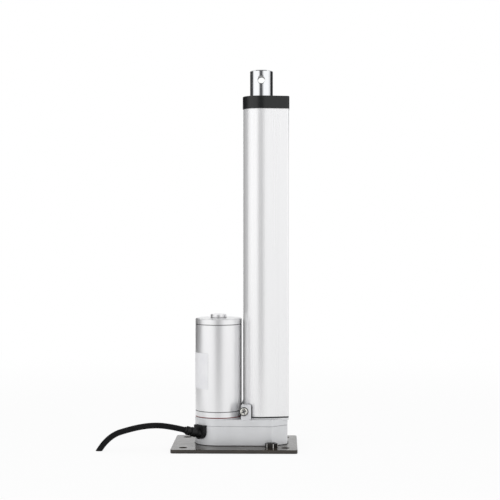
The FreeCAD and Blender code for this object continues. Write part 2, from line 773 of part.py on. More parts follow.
# Screw: tail in the foot bush, journal for gear and bearing, thread as a plain cylinder
thread_bottom = bearing_top + running_gap
tail_bottom = foot_bush_bottom + moving_gap
guide_bottom = rod_bottom + stroke + 1.0
screw_top = guide_bottom + tip_guide_height
journal_bottom = stage2_bottom
screw = turned([
    (0, tail_bottom), (screw_tail_radius, tail_bottom), (screw_tail_radius, journal_bottom),
    (screw_journal_radius, journal_bottom), (screw_journal_radius, thread_bottom),
    (screw_radius - 0.8, thread_bottom), (screw_radius, thread_bottom + 0.8), (screw_radius, guide_bottom),
    (screw_tail_radius, guide_bottom), (screw_tail_radius, screw_top), (0, screw_top),
], rod_x)
key_half = 1.5
key_depth = screw_journal_radius - 1.5
key_reach = screw_journal_radius + 1.4
key_room = box(rod_x + key_depth, rod_x + key_reach, -key_half, key_half, stage2_bottom, stage2_top)
nodes["lead_screw"] = screw.cut(key_room)
screw_phase = math.pi + math.pi / screw_gear_teeth
wheel = gear(screw_gear_teeth, stage2_module, stage2_bottom, stage2_top, rod_x, screw_phase)
wheel = wheel.cut(rod_between(screw_journal_radius, stage2_bottom - 1, stage2_top + 1, rod_x))
nodes["screw_gear"] = wheel.cut(key_room)
nodes["gear_key"] = key_room
spacer_radius = min(screw_journal_radius + 1.3, stage2_distance - idler_tip - 0.5)
nodes["bearing_spacer"] = ring(spacer_radius, screw_journal_radius, stage2_top, bearing_bottom - running_gap,
                               rod_x)
nodes["gear_circlip"] = ring(screw_journal_radius + 1.2, screw_tail_radius, stage2_bottom - 0.8,
                             stage2_bottom, rod_x)
nodes["screw_tip_guide"] = ring(rod_bore_radius - loose_gap, screw_tail_radius, guide_bottom, screw_top,
                                rod_x)

nodes["screw_foot_bush"] = ring(foot_bush_radius, screw_tail_radius + running_gap, foot_bush_bottom,
                                floor_top + 0.2, rod_x)
race = bearing_radius - 0.28 * (bearing_radius - screw_journal_radius)
shield = bearing_radius - 0.72 * (bearing_radius - screw_journal_radius)
bearing_bore = screw_journal_radius + press_gap
nodes["screw_bearing"] = turned([
    (bearing_bore, bearing_bottom), (shield, bearing_bottom), (shield, bearing_bottom + 0.4),
    (race, bearing_bottom + 0.4), (race, bearing_bottom), (bearing_radius, bearing_bottom),
    (bearing_radius, bearing_top), (race, bearing_top), (race, bearing_top - 0.4),
    (shield, bearing_top - 0.4), (shield, bearing_top), (bearing_bore, bearing_top),
], rod_x)
nodes["bearing_circlip"] = ring(bearing_radius + circlip_depth - loose_gap, bearing_radius - 1.6, bearing_top,
                                bearing_top + circlip_width - press_gap, rod_x)

# Rod: tube, drive nut with its tongue, plug in the upper end, cross hole through tube and plug
eye_z = rod_top - eye_hole_inset
eye_start = vec(rod_x, -2 * rod_radius, eye_z)
eye_hole = Part.makeCylinder(eye_hole_radius, 4 * rod_radius, eye_start, vec(0, 1, 0))
rod = turned([
    (rod_bore_radius, rod_bottom), (rod_radius, rod_bottom), (rod_radius, rod_top - 0.8),
    (rod_radius - 0.8, rod_top), (rod_bore_radius, rod_top),
], rod_x)
rod = rod.cut(eye_hole)
for side in (-1, 1):
    start = vec(rod_x, side * (rod_radius - eye_bevel), eye_z)
    rim = Part.makeCone(eye_hole_radius, eye_hole_radius + 2 * eye_bevel, 2 * eye_bevel, start,
                        vec(0, side, 0))
    rod = rod.cut(rim)
nodes["rod_tube"] = rod
plug = rod_between(rod_bore_radius, rod_top - rod_plug_length, rod_top, rod_x)
nodes["rod_end_plug"] = plug.cut(eye_hole)
nut_end = drive_nut_bottom + drive_nut_length
tongue_half = chamber_half_width - 0.4
drive_nut = rod_between(drive_nut_radius, drive_nut_bottom, nut_end, rod_x)
drive_nut = drive_nut.fuse(box(rod_x, tongue_x, -tongue_half, tongue_half, drive_nut_bottom, nut_end))
drive_nut = drive_nut.cut(rod_between(screw_radius + running_gap, drive_nut_bottom - 1, nut_end + 1, rod_x))
drive_nut = drive_nut.cut(rod_between(rod_radius, rod_bottom, nut_end + 1, rod_x))
nodes["drive_nut"] = drive_nut.removeSplitter()

# Outer tube: round bore for the nut, side chamber for the switches, two screw ports
seal_opening = tube_block(-tube_wall, pad_top - 1, tube_bottom + 1)
ports = []
for side in (-1, 1):
    y = side * port_y
    seal_opening = seal_opening.cut(rod_between(screw_boss_radius, pad_top - 2, tube_bottom + 2, port_x, y))
    ports.append(rod_between(port_screw_radius + press_gap, pad_top - 1, tube_top + 1, port_x, y))
seal = tube_block(-running_gap, pad_top, tube_bottom).cut(seal_opening).cut(ports)
nodes["tube_seal"] = seal
tube = tube_block(0, tube_bottom, tube_top)
tube = tube.cut(rod_between(tube_bore, tube_bottom - 1, tube_top + 1, rod_x))
tube = tube.cut(box(rod_x, flat_inner, -chamber_half_width, chamber_half_width,
                    tube_bottom - 1, tube_top + 1))
tube = tube.cut(ports)
nodes["outer_tube"] = tube.removeSplitter()
nodes["guide_bush"] = ring(tube_bore - running_gap, rod_radius + running_gap, tube_top - guide_bush_length,
                           tube_top, rod_x)

# End cap with the wiper seal and two sunk screws
wiper_radius = rod_radius + wiper_width
wiper_bottom = end_cap_top - wiper_depth
end_cap = tube_block(cap_overhang, tube_top, end_cap_top)
end_cap = end_cap.makeFillet(cap_fillet, outer_edges_at(end_cap, end_cap_top, 1.0))
plug_half = chamber_half_width - 0.2
chamber_plug = box(rod_x + tube_bore + 1.0, flat_inner - 0.2, -plug_half, plug_half,
                   tube_top - chamber_plug_depth, tube_top + 1)
end_cap = end_cap.fuse(chamber_plug)
end_cap = end_cap.cut(rod_between(rod_radius + moving_gap, tube_top - 1, end_cap_top + 1, rod_x))
end_cap = end_cap.cut(rod_between(wiper_radius, wiper_bottom, end_cap_top + 1, rod_x))
cap_screw_head = port_screw_radius * 1.7
cap_screw_seat = end_cap_top - cap_screw_sink
cap_screws = []
for side in (-1, 1):
    y = side * port_y
    end_cap = end_cap.cut(rod_between(cap_screw_head + loose_gap, cap_screw_seat, end_cap_top + 1, port_x, y))
    end_cap = end_cap.cut(rod_between(port_screw_radius + press_gap, tube_top - 1, end_cap_top, port_x, y))
    head = rod_between(cap_screw_head, cap_screw_seat, cap_screw_seat + cap_screw_head_height, port_x, y)
    shank = rod_between(port_screw_radius, tube_top - port_depth, cap_screw_seat + 1, port_x, y)
    cap_screws.append(head.fuse(shank).removeSplitter())
nodes["end_cap"] = end_cap.removeSplitter()
nodes["cap_screws"] = Part.makeCompound(cap_screws)
nodes["wiper_seal"] = turned([
    (rod_radius + running_gap, wiper_bottom), (wiper_radius - press_gap, wiper_bottom),
    (wiper_radius - press_gap, end_cap_top - wiper_step),
    (rod_radius + wiper_width / 2, end_cap_top - wiper_step),
    (rod_radius + wiper_width / 5, end_cap_top - wiper_step / 5),
    (rod_radius + running_gap, end_cap_top - wiper_step / 5),
], rod_x)

# Switch board with a limit switch and plunger at each end of the stroke
board_half = chamber_half_width - 0.5
board_bottom = tube_bottom + board_bottom_gap
board_top = tube_top - board_top_gap
nodes["switch_board"] = box(board_x, board_x + board_thickness, -board_half, board_half,
                            board_bottom, board_top)
tongue_middle = drive_nut_bottom + drive_nut_length / 2
for name, height in (("lower", tongue_middle), ("upper", tongue_middle + stroke)):
    body = box(switch_x, board_x, -switch_width / 2, switch_width / 2, height - switch_length / 2,
               height + switch_length / 2)
    well = Part.makeCylinder(plunger_radius + loose_gap, plunger_travel + 1.2, vec(switch_x - 0.1, 0, height),
                             vec(1, 0, 0))
    nodes[name + "_limit_switch"] = body.cut(well)
    nodes[name + "_plunger"] = Part.makeCylinder(plunger_radius, switch_x + 0.8 - plunger_tip_x,
                                                 vec(plunger_tip_x, 0, height), vec(1, 0, 0))

# Cable gland: flange outside the wall, neck in the slot, flange inside, ribbed boot
wall_outer = rod_between(gearbox_half_depth + running_gap, 0, cover_top, motor_axis_x)
wall_inner = rod_between(gearbox_half_depth - gearbox_wall - running_gap, 0, cover_top, motor_axis_x)
gland_face = gearbox_half_depth + gland_flange
gland_inner = gearbox_half_depth - gearbox_wall - 2.6
neck_top = parting - running_gap
gland = u_block(neck_half_width, neck_top, gland_inner, gland_face - 0.5, gland_z)
gland_outer = u_block(gland_half_width, parting + 0.6, gland_inner, gland_face, gland_z).cut(wall_outer)
gland = gland.fuse(gland_outer)
gland_inside = u_block(gland_half_width - 0.6, neck_top, gland_inner, gland_face, gland_z)
gland = gland.fuse(gland_inside.common(wall_inner))
boot_rings = [
    (3.6, cable_radius + 1.1), (1.0, cable_radius + 0.8), (4.8, cable_radius + 1.6),
    (1.0, cable_radius + 0.6), (3.2, cable_radius + 1.35), (2.0, cable_radius + 0.45),
]
along = -2.0
boot_profile = [(0.0, along)]
for ring_length, ring_radius in boot_rings:
    boot_profile.append((ring_radius - boot_edge, along))
    boot_profile.append((ring_radius, along + boot_edge))
    along = along + ring_length
    boot_profile.append((ring_radius, along - boot_edge))
    boot_profile.append((ring_radius - boot_edge, along))
boot_profile.append((0.0, along))
boot = turned(boot_profile)
boot.rotate(vec(0, 0, 0), vec(0, 1, 0), 90 - boot_rise_angle)
boot.rotate(vec(0, 0, 0), vec(0, 0, 1), boot_plan_angle)
boot_start = polar(motor_axis_x, gland_face, math.radians(gland_angle), gland_z - boot_drop)
boot.translate(boot_start)
nodes["cable_gland"] = gland.fuse(boot).removeSplitter()

# Cable: out along the boot, over a low arch and down to the floor, where it is cut off level
rise = math.radians(boot_rise_angle)
plan = math.radians(boot_plan_angle)
heading = vec(math.cos(rise) * math.cos(plan), math.cos(rise) * math.sin(plan), math.sin(rise))
cable_exit = boot_start.add(vec(heading.x, heading.y, heading.z).multiply(along))
cable_end = cable_exit.add(vec(cable_end_x, cable_end_y, 0))
cable_end.z = cable_end_z
cable_points = [
    cable_exit,
    cable_exit.add(vec(heading.x, heading.y, heading.z).multiply(cable_first_run)),
    cable_exit.add(vec(cable_crest_x, cable_crest_y, cable_crest_z)),
    cable_exit.add(vec(cable_shoulder_x, cable_shoulder_y, cable_shoulder_z)),
    cable_exit.add(vec(cable_fall_x, cable_fall_y, cable_fall_z)),
    cable_end,
]
print("cable points", [tuple(round(c, 2) for c in point) for point in cable_points])
cable = sweep(cable_points, cable_radius, "power_cable")
reach = 2 * abs(cable_end_x)
nodes["power_cable"] = cable.common(box(cable_exit.x - reach, cable_exit.x + reach, -reach, reach, 0, reach))

# Leads inside: two up to the brush card, one to the switch board
leads = []
for side in (-1, 1):
    shift_x = -side * 1.1 * math.sin(lead_turn)
    shift_y = side * 1.1 * math.cos(lead_turn)
    begin = polar(motor_axis_x, gland_inner, lead_turn, gland_z)
    points = [
        begin.add(vec(shift_x, shift_y, 0)),
        vec(lead_x + shift_x, lead_y + shift_y, gland_z),
        vec(lead_x + shift_x, lead_y + shift_y, lip_top),
    ]
    leads.append(sweep(points, lead_radius, "motor lead"))
nodes["motor_leads"] = Part.makeCompound(leads)
lead_level = (stage2_top + cover_inner) / 2
lead_wall_y = -gearbox_half_depth + gearbox_wall + lead_radius + 0.3
lead_aside = vec(-lead_offset * math.sin(lead_turn), lead_offset * math.cos(lead_turn), 0)
switch_lead = [
    polar(motor_axis_x, gland_inner, lead_turn, gland_z).add(lead_aside),
    polar(motor_axis_x, gland_inner - 3.0, lead_turn, gland_z).add(lead_aside),
    vec(motor_axis_x + 2.0, lead_wall_y, lead_level),
    vec(rod_x + 3.0, lead_wall_y, lead_level),
    vec(switch_lead_x - 6.0, switch_lead_y, lead_level),
    vec(switch_lead_x, switch_lead_y, lead_level),
    vec(switch_lead_x, switch_lead_y, tube_bottom + 3.4),
    vec(board_x, switch_lead_y, tube_bottom + 3.4),
]
nodes["switch_lead"] = sweep(switch_lead, lead_radius, "switch lead")

os.makedirs("parts", exist_ok=True)
for name, shape in nodes.items():
    shape.exportStep("parts/" + name + ".step")
turns_ratio = (idler_gear_teeth / motor_pinion_teeth) * (screw_gear_teeth / idler_pinion_teeth)
print(len(nodes), "nodes, reduction", turns_ratio, "rod axis", rod_x, "rod top", rod_top, "eye height", eye_z)
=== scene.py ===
import json
import math
import bmesh
import bpy
from mathutils import Matrix, Vector

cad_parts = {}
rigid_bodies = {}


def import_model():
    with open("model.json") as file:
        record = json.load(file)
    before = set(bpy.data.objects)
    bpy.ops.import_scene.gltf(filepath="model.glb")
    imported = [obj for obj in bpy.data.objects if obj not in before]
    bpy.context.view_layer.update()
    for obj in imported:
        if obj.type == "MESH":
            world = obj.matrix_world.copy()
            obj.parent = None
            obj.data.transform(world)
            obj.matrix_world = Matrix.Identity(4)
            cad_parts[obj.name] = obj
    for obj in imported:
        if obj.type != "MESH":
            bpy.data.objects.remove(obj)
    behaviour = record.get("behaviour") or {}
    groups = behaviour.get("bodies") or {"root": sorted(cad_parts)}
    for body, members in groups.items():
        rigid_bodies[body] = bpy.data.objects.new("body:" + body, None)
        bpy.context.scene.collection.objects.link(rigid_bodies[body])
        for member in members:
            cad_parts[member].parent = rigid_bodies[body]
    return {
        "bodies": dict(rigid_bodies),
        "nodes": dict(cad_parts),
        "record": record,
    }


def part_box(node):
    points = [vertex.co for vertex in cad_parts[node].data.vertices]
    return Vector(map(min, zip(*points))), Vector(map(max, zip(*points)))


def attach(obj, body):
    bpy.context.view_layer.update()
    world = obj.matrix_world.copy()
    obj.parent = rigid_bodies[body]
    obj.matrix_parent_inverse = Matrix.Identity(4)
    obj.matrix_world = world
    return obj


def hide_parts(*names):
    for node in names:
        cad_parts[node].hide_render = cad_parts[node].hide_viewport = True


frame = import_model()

scene = bpy.context.scene
nodes = frame["nodes"]
wanted = set(nodes.values()) | set(frame["bodies"].values())
for spare in [thing for thing in bpy.data.objects if thing not in wanted]:
    bpy.data.objects.remove(spare)            # the start-up cube, lamp and camera
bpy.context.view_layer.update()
scene.view_settings.view_transform = "Standard"
mm = 0.001
up = (0.0, 0.0, 1.0)
middle = (0.0, 0.0, 0.0)
meshSet = {"weld": 0.000002, "crease": 32.0, "roundSteps": 48}    # metres, degrees, sides of a round screw
print("frame loaded with", len(nodes), "nodes")


def addPiece(name, data):
    piece = bpy.data.objects.new(name, data)
    scene.collection.objects.link(piece)
    return piece


# Camera: long lens, a little right of the middle, almost level (angles in radians, clip in metres)
cameraSet = {
    "place": (39.806, -1245.59, 199.93), "yaw": 0.0216, "pitch": -0.0222,
    "lens": 102.31, "sensor": 36.0, "clipEnd": 50.0,
}
photoCamera = addPiece("photoCamera", bpy.data.cameras.new("photoCamera"))
photoCamera.data.lens = cameraSet["lens"]
photoCamera.data.sensor_width = cameraSet["sensor"]
photoCamera.data.clip_end = cameraSet["clipEnd"]
photoCamera.location = Vector(cameraSet["place"]) * mm
photoCamera.rotation_euler = (math.pi / 2 + cameraSet["pitch"], 0.0, cameraSet["yaw"])
scene.camera = photoCamera
print("camera set")


def closeMesh(form, name, crease=meshSet["crease"]):
    bmesh.ops.remove_doubles(form, verts=form.verts, dist=meshSet["weld"])
    bmesh.ops.recalc_face_normals(form, faces=form.faces)
    mesh = bpy.data.meshes.new(name)
    form.to_mesh(mesh)
    form.free()
    mesh.shade_smooth()
    mesh.set_sharp_from_angle(angle=math.radians(crease))
    return addPiece(name, mesh)


def finishedForm(thing):
    bpy.context.view_layer.update()
    mesh = bpy.data.meshes.new_from_object(thing.evaluated_get(bpy.context.evaluated_depsgraph_get()))
    form = bmesh.new()
    form.from_mesh(mesh)
    bpy.data.meshes.remove(mesh)
    return form


def only(kind, parts):
    return [part for part in parts if isinstance(part, kind)]


# Cable: out of the boot, over a low arch and down to the floor, where it is cut off level
cableSet = {
    "route": [(-43.42, -21.80, 17.15), (-53.07, -25.89, 20.15), (-68.12, -27.70, 22.15),
              (-85.52, -29.50, 20.05), (-110.12, -29.40, 12.25), (-118.72, -28.90, -3.70)],
    "radius": 2.5, "length": 81.6, "floor": 0.05, "alongSteps": 24, "roundSteps": 8, "crease": 50.0,
}
cableCurve = bpy.data.curves.new("cableLine", "CURVE")
cableCurve.dimensions = "3D"
cableSpline = cableCurve.splines.new("NURBS")
cableSpline.points.add(len(cableSet["route"]) - 1)
for point, place in zip(cableSpline.points, cableSet["route"]):
    point.co = (*(Vector(place) * mm), 1.0)
cableSpline.order_u = 3                       # after the points, so that the line is smooth
cableSpline.use_endpoint_u = True
cableSpline.resolution_u = cableSet["alongSteps"]
cableLine = addPiece("cableLine", cableCurve)
pathForm = finishedForm(cableLine)            # no bevel yet, so this is the line itself
pathForm.free()
cableCurve.bevel_depth = cableSet["radius"] * mm
cableCurve.bevel_resolution = cableSet["roundSteps"]
cableCurve.use_fill_caps = True
cableForm = finishedForm(cableLine)
bpy.data.curves.remove(cableCurve)            # its object goes with it
bmesh.ops.remove_doubles(cableForm, verts=cableForm.verts, dist=meshSet["weld"])
cut = bmesh.ops.bisect_plane(cableForm, geom=cableForm.verts[:] + cableForm.edges[:] + cableForm.faces[:],
                             plane_co=(0.0, 0.0, cableSet["floor"] * mm), plane_no=up, clear_inner=True)
bmesh.ops.holes_fill(cableForm, edges=only(bmesh.types.BMEdge, cut["geom_cut"]), sides=0)
powerCable = closeMesh(cableForm, "powerCable", cableSet["crease"])
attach(powerCable, "base")
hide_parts("power_cable")
print("cable laid")


def closedLoop(form, places):
    verts = [form.verts.new(place) for place in places]
    return verts, [form.edges.new(pair) for pair in zip(verts, verts[1:] + verts[:1])]


def growRing(form, edges, radius, height):
    grown = bmesh.ops.extrude_edge_only(form, edges=edges)["geom"]
    for vert in only(bmesh.types.BMVert, grown):
        flat = Vector((vert.co.x, vert.co.y, 0.0)).normalized() * radius * mm
        vert.co = (flat.x, flat.y, height * mm)
    return only(bmesh.types.BMEdge, grown)


def seatAt(place, tilt, turn):
    turned = Matrix.Rotation(math.radians(tilt), 4, "X") @ Matrix.Rotation(math.radians(turn), 4, "Z")
    return Matrix.Translation(Vector(place) * mm) @ turned


def makeFastener(profile, outline, recess, seat):
    form = bmesh.new()
    tipRadius, tipHeight = profile[0]
    bmesh.ops.create_circle(form, cap_ends=True, radius=tipRadius * mm, segments=meshSet["roundSteps"])
    bmesh.ops.translate(form, verts=form.verts, vec=(0.0, 0.0, tipHeight * mm))
    edges = form.edges[:]
    for radius, height in profile[1:]:
        edges = growRing(form, edges, radius, height)
    top = profile[-1][1] * mm
    rim = closedLoop(form, [(x * mm, y * mm, top) for x, y in outline])[1]
    bmesh.ops.subdivide_edges(form, edges=rim, cuts=recess["cuts"])
    rim = [edge for edge in form.edges if edge.is_wire]
    bmesh.ops.bridge_loops(form, edges=edges + rim)
    sunk = bmesh.ops.extrude_edge_only(form, edges=rim)["geom"]
    low = only(bmesh.types.BMVert, sunk)
    bmesh.ops.scale(form, verts=low, vec=(recess["taper"], recess["taper"], 1.0))
    bmesh.ops.translate(form, verts=low, vec=(0.0, 0.0, -recess["depth"] * mm))
    floor = bmesh.ops.holes_fill(form, edges=only(bmesh.types.BMEdge, sunk), sides=0)
    for face in floor["faces"] + only(bmesh.types.BMFace, sunk):
        face.material_index = 1               # the recess gets the darker finish as painted shade
    bmesh.ops.transform(form, matrix=seat, verts=form.verts)
    return form


def crossOutline(reach, half):
    return [(reach, -half), (reach, half), (half, half), (half, reach), (-half, reach), (-half, half),
            (-reach, half), (-reach, -half), (-half, -half), (-half, -reach), (half, -reach), (half, -half)]


def hexOutline(flats):
    corner = flats / math.sqrt(3)
    return [(corner * math.cos(math.pi / 3 * n), corner * math.sin(math.pi / 3 * n)) for n in range(6)]


def joinForms(forms, name):
    whole = bmesh.new()
    for form in forms:
        mesh = bpy.data.meshes.new("loose")
        form.to_mesh(mesh)
        form.free()
        whole.from_mesh(mesh)
        bpy.data.meshes.remove(mesh)
    return closeMesh(whole, name)


# Pan head cross screws in the two lugs, front and back, each with a thin dark ring under its head: place,
# tilt, turn
lugScrewSet = {
    "places": [((8.0, -20.0, 32.8), 90.0, 20.0), ((8.0, 20.0, 32.8), -90.0, 55.0)],
    "profile": [(1.4, -7.5), (1.6, -7.2), (1.6, 0.65), (3.0, 0.65), (3.25, 0.72), (3.35, 0.9), (3.35, 1.2),
                (3.27, 1.5), (3.05, 1.8), (2.75, 2.02), (2.5, 2.14)],      # radius, height
    "darkRing": [(1.62, 0.0), (3.75, 0.0), (3.85, 0.1), (3.85, 0.5), (3.75, 0.6), (1.62, 0.6)],
    "reach": 2.35, "half": 0.45, "depth": 1.5, "taper": 0.85, "cuts": 3,
}
lugForms = []
for place, tilt, turn in lugScrewSet["places"]:
    seat = seatAt(place, tilt, turn)
    outline = crossOutline(lugScrewSet["reach"], lugScrewSet["half"])
    lugForms.append(makeFastener(lugScrewSet["profile"], outline, lugScrewSet, seat))
    darkRing = bmesh.new()
    section = [(radius * mm, 0.0, height * mm) for radius, height in lugScrewSet["darkRing"]]
    rim, hoop = closedLoop(darkRing, section)
    bmesh.ops.spin(darkRing, geom=rim + hoop, axis=up, cent=middle, angle=2 * math.pi,
                   steps=meshSet["roundSteps"], use_merge=True)
    for face in darkRing.faces:
        face.material_index = 2
    bmesh.ops.transform(darkRing, matrix=seat, verts=darkRing.verts)
    lugForms.append(darkRing)
lugScrews = joinForms(lugForms, "lugScrews")

# Socket head screws down through the end cap: place, turn
capScrewSet = {
    "places": [((41.666, -8.0, 302.2), 12.0), ((41.666, 8.0, 302.2), 41.0)],
    "profile": [(1.5, -21.0), (1.75, -20.7), (1.75, 0.0), (2.7, 0.0), (2.975, 0.2), (2.975, 2.25),
                (2.88, 2.48), (2.62, 2.6), (1.95, 2.6)],
    "flats": 2.5, "depth": 1.4, "taper": 0.96, "cuts": 7,
}
capForms = []
for place, turn in capScrewSet["places"]:
    outline = hexOutline(capScrewSet["flats"])
    capForms.append(makeFastener(capScrewSet["profile"], outline, capScrewSet, seatAt(place, 0.0, turn)))
capScrews = joinForms(capForms, "capScrews")

# Countersunk cross screws up through the plate: x, y, shank radius, height of the tip, turn
baseScrewSet = {
    "places": [(41.666, -8.0, 1.75, 39.7, 10.0), (41.666, 8.0, 1.75, 39.7, 63.0),
               (-5.654, 15.8, 2.0, 24.4, 35.0), (-30.1, 0.0, 2.0, 24.4, 80.0)],
    "face": 0.2, "tipBevel": (0.3, 0.4), "head": 3.8, "headDepth": 2.0, "flat": 2.4,
    "headRim": [(0.25, 0.25), (0.0, 0.1), (0.1, 0.0)],         # in from the head's radius, down from its face
    "reach": 2.0, "half": 0.45, "depth": 1.3, "taper": 0.6, "cuts": 3,
}
baseForms = []
for x, y, shank, tip, turn in baseScrewSet["places"]:
    length = tip - baseScrewSet["face"]
    bevelWidth, bevelHeight = baseScrewSet["tipBevel"]
    profile = [(shank - bevelWidth, -length), (shank, bevelHeight - length),
               (shank, -baseScrewSet["headDepth"])]
    profile += [(baseScrewSet["head"] - inset, -drop) for inset, drop in baseScrewSet["headRim"]]
    profile.append((baseScrewSet["flat"], 0.0))
    outline = crossOutline(baseScrewSet["reach"], baseScrewSet["half"])
    seat = seatAt((x, y, baseScrewSet["face"]), 180.0, turn)
    baseForms.append(makeFastener(profile, outline, baseScrewSet, seat))
baseScrews = joinForms(baseForms, "baseScrews")
for piece, node in ((lugScrews, "lug_screws"), (capScrews, "cap_screws"), (baseScrews, "base_screws")):
    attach(piece, "base")
    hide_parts(node)

# Hex nut on the plate's stud: crowned corners, edges rubbed to bare steel and painted bright as highlights
nutSet = {
    "centre": (31.8, -27.662, 3.0), "turn": 18.0, "flats": 10.0, "height": 3.8, "bore": 3.03,
    "boreBevel": 0.4, "crown": 30.0, "topShare": 0.97, "sideCuts": 7, "crease": 25.0,
    "rubHighlight": 0.4, "rubHighlightSteps": 2, "cornerTurn": 0.8, "cornerShare": 1.1,      # what counts as a corner's edge
}
halfFlats = nutSet["flats"] / 2
nutForm = bmesh.new()
bmesh.ops.create_circle(nutForm, cap_ends=False, radius=nutSet["flats"] / math.sqrt(3) * mm, segments=6)
bmesh.ops.subdivide_edges(nutForm, edges=nutForm.edges[:], cuts=nutSet["sideCuts"])
footEdges = nutForm.edges[:]
wall = bmesh.ops.extrude_edge_only(nutForm, edges=footEdges)["geom"]
for vert in only(bmesh.types.BMVert, wall):
    over = vert.co.xy.length - halfFlats * mm
    vert.co.z = nutSet["height"] * mm - over * math.tan(math.radians(nutSet["crown"]))
rimEdges = only(bmesh.types.BMEdge, wall)
for radius, height in ((halfFlats * nutSet["topShare"], nutSet["height"]),
                       (nutSet["bore"] + nutSet["boreBevel"], nutSet["height"]),
                       (nutSet["bore"], nutSet["height"] - nutSet["boreBevel"]),
                       (nutSet["bore"], 0.0)):
    rimEdges = growRing(nutForm, rimEdges, radius, height)
bmesh.ops.bridge_loops(nutForm, edges=rimEdges + footEdges)
bmesh.ops.recalc_face_normals(nutForm, faces=nutForm.faces)
upright = [edge for edge in nutForm.edges if edge.calc_face_angle(0.0) > nutSet["cornerTurn"] and
           min(vert.co.xy.length for vert in edge.verts) > halfFlats * nutSet["cornerShare"] * mm]
rubbedHighlight = bmesh.ops.bevel(nutForm, geom=upright, affect="EDGES", offset=nutSet["rubHighlight"] * mm,
                         segments=nutSet["rubHighlightSteps"], profile=0.5, material=-1)
# the bevelled corner edges take the bright finish, a painted highlight
for face in rubbedHighlight["faces"]:
    face.material_index = 1
bmesh.ops.transform(nutForm, matrix=seatAt(nutSet["centre"], 0.0, nutSet["turn"]), verts=nutForm.verts)
plateNut = closeMesh(nutForm, "plateNut", nutSet["crease"])
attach(plateNut, "base")
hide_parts("plate_nut")
print("screws and nut made")

# Lead screw: the plain length of the CAD form gets its right-hand trapezoidal thread
threadSet = {
    "pitch": 4.0, "depth": 1.5, "root": 1.75, "flank": 15.0, "over": 0.3, "steps": 30,
    "ends": (2.5, 2.0),                       # left plain above the bearing and below the tip's guide
}
low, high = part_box("lead_screw")
screwAxis = (low + high) / 2
crest = (high.x - low.x) / 2 / mm
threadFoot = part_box("screw_bearing")[1].z / mm + threadSet["ends"][0]
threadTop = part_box("screw_tip_guide")[0].z / mm - threadSet["ends"][1]
flare = math.tan(math.radians(threadSet["flank"])) * (threadSet["depth"] + threadSet["over"])
inner = (crest - threadSet["depth"], threadSet["root"] / 2)
outer = (crest + threadSet["over"], threadSet["root"] / 2 + flare)
grooveForm = bmesh.new()
corners, section = closedLoop(grooveForm, [
    (screwAxis.x + radius * mm, screwAxis.y, (threadFoot + side * half) * mm)
    for side, (radius, half) in ((-1, inner), (-1, outer), (1, outer), (1, inner))])
bmesh.ops.spin(grooveForm, geom=corners + section, axis=up, cent=screwAxis, angle=2 * math.pi,
               steps=threadSet["steps"], use_merge=False,
               dvec=(0.0, 0.0, threadSet["pitch"] / threadSet["steps"] * mm))
oneTurn = closeMesh(grooveForm, "oneTurn")
winding = oneTurn.modifiers.new("winding", "ARRAY")
winding.use_relative_offset = False
winding.use_constant_offset = True
winding.constant_offset_displace = (0.0, 0.0, threadSet["pitch"] * mm)
winding.count = int((threadTop - threadFoot) / threadSet["pitch"])
cutterForm = finishedForm(oneTurn)
bmesh.ops.remove_doubles(cutterForm, verts=cutterForm.verts, dist=meshSet["weld"])
bmesh.ops.holes_fill(cutterForm, edges=[edge for edge in cutterForm.edges if edge.is_boundary], sides=0)
threadCutter = closeMesh(cutterForm, "threadCutter")
blankForm = bmesh.new()
blankForm.from_mesh(nodes["lead_screw"].data)
screwBlank = closeMesh(blankForm, "screwBlank")
cutting = screwBlank.modifiers.new("cutting", "BOOLEAN")
cutting.operation = "DIFFERENCE"
cutting.solver = "EXACT"
cutting.object = threadCutter
threadedForm = finishedForm(screwBlank)
for spare in (oneTurn, threadCutter, screwBlank):
    bpy.data.meshes.remove(spare.data)        # its object goes with it
leadScrew = closeMesh(threadedForm, "leadScrew")
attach(leadScrew, "screw")
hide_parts("lead_screw")
print("thread cut")


def linear(code):
    parts = [int(code[n:n + 2], 16) / 255 for n in (1, 3, 5)]
    return (*[c / 12.92 if c <= 0.04045 else ((c + 0.055) / 1.055) ** 2.4 for c in parts], 1.0)


def addNode(tree, kind, settings=None, links=None):
    node = tree.nodes.new("ShaderNode" + kind)
    for key, value in (settings or {}).items():
        if key in node.inputs:
            node.inputs[key].default_value = value
        else:
            setattr(node, key, value)
    for socket, source in (links or {}).items():
        tree.links.new(source, node.inputs[socket])
    return node


def perMm(size):
    return 1000.0 / size                      # texture scale for a pattern of that size in mm


def bandsPerMm(size):
    return perMm(size) * math.pi / 10         # at scale 1 a wave's bands lie a tenth of pi apart


# What all finishes share: where most of a noise lies, and the open share where painted nook shade starts and
# is full
sharedLook = {
    "noiseSpan": {"From Min": 0.3, "From Max": 0.7}, "patchDetail": 3.0, "smearDetail": 4.0,
    "nookSpan": {"From Min": 0.75, "From Max": 0.35}, "nookSamples": 8,
}


